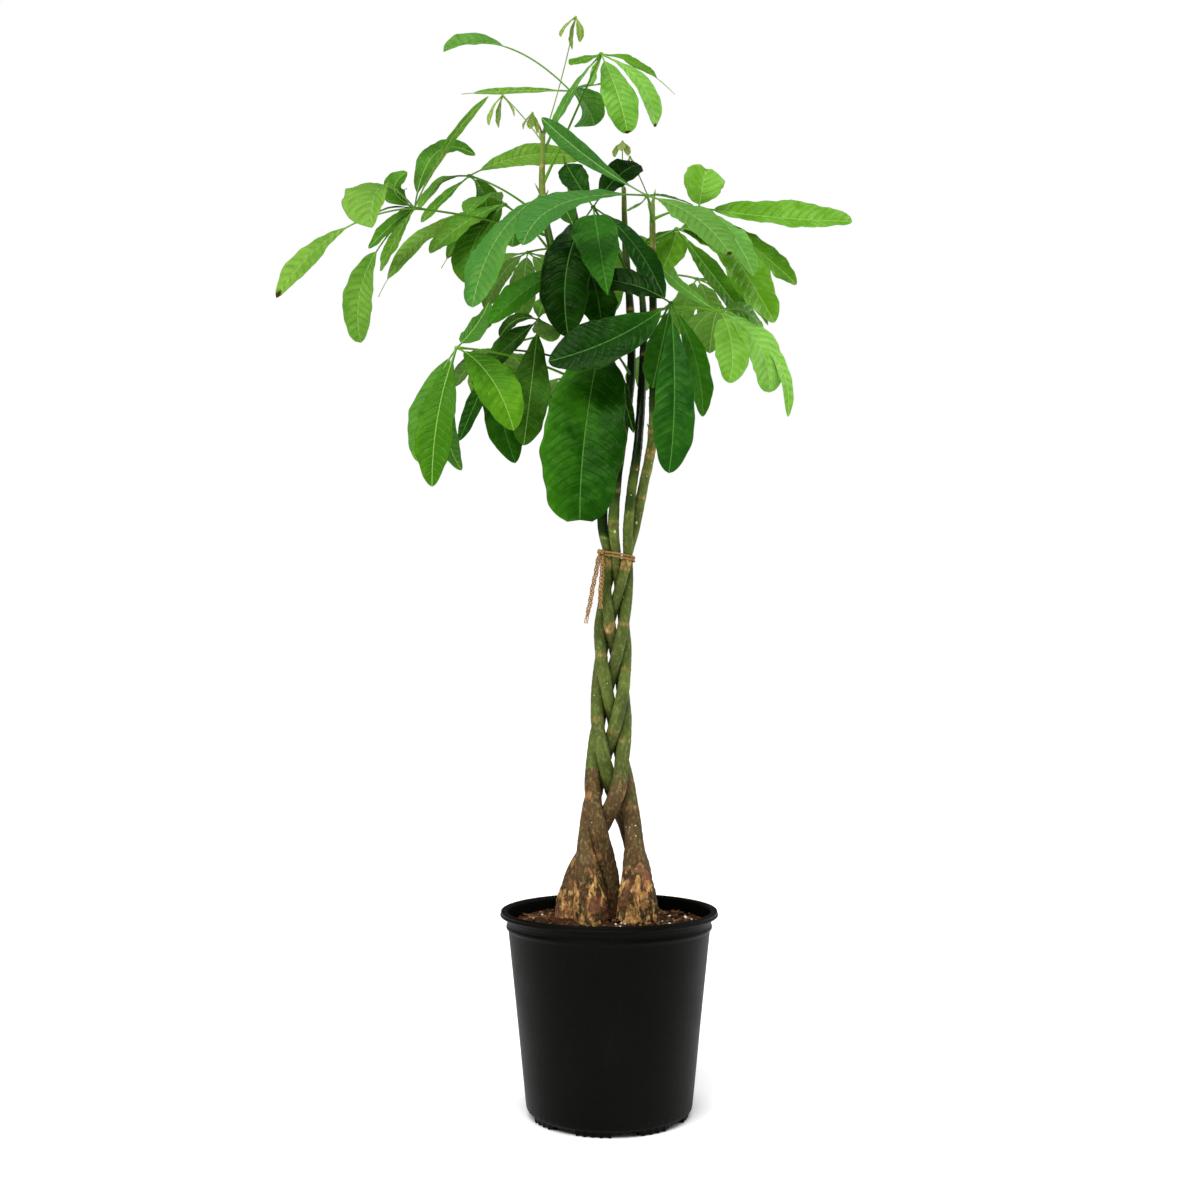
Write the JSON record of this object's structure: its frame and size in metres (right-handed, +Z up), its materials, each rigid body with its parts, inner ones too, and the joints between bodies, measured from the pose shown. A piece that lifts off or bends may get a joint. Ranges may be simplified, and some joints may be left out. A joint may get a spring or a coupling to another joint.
{
  "type": "potted money tree",
  "caption": "Potted money tree with plaited stems tied with twine, palmate leaves and a round plastic grower's pot filled with soil.",
  "frame": {"origin": "middle of the pot's underside, on the surface that the pot stands on", "axes": "+Z up along the trunk, +X to the right and -Y towards the viewer, as in the picture"},
  "size_m": [0.7161, 0.4971, 1.3972],
  "materials": {
    "pot_plastic": "near-black moulded plastic, faint sheen",
    "potting_soil": "dark brown potting mix with bark fibre and white perlite",
    "bark": "olive green stems, brown and peeling at the foot",
    "twine": "tan natural fibre twine",
    "leaf_dark": "dark glossy green leaf",
    "leaf_mid": "mid green leaf, satin gloss",
    "leaf_bright": "bright green leaf, satin gloss",
    "leaf_young": "pale yellow-green young leaf"
  },
  "bodies": {
    "root": {"bud_left": "leaf_young", "bud_middle": "leaf_young", "bud_right": "leaf_young", "bud_right_low": "leaf_young", "bud_top": "leaf_young", "leaf_back": "leaf_mid", "leaf_back_left": "leaf_mid", "leaf_back_low_left": "leaf_dark", "leaf_back_low_right": "leaf_dark", "leaf_back_right": "leaf_bright", "leaf_centre": "leaf_dark", "leaf_far_left": "leaf_mid", "leaf_front_left": "leaf_mid", "leaf_front_low": "leaf_dark", "leaf_front_right": "leaf_mid", "leaf_inner": "leaf_dark", "leaf_left_inner": "leaf_dark", "leaf_left_middle": "leaf_mid", "leaf_left_side": "leaf_mid", "leaf_left_top": "leaf_mid", "leaf_lower_left": "leaf_bright", "leaf_middle_left": "leaf_mid", "leaf_right_high": "leaf_bright", "leaf_right_low": "leaf_dark", "leaf_right_middle": "leaf_bright", "leaf_right_outer": "leaf_bright", "leaf_right_side": "leaf_bright", "leaf_top": "leaf_bright", "leaf_top_left": "leaf_mid", "pot": "pot_plastic", "soil": "potting_soil", "stem_back_left": "bark", "stem_back_right": "bark", "stem_front_left": "bark", "stem_front_right": "bark", "stem_middle": "bark", "twine_tail_long": "twine", "twine_tail_short": "twine", "twine_tie": "twine"}
  },
  "joints": []
}
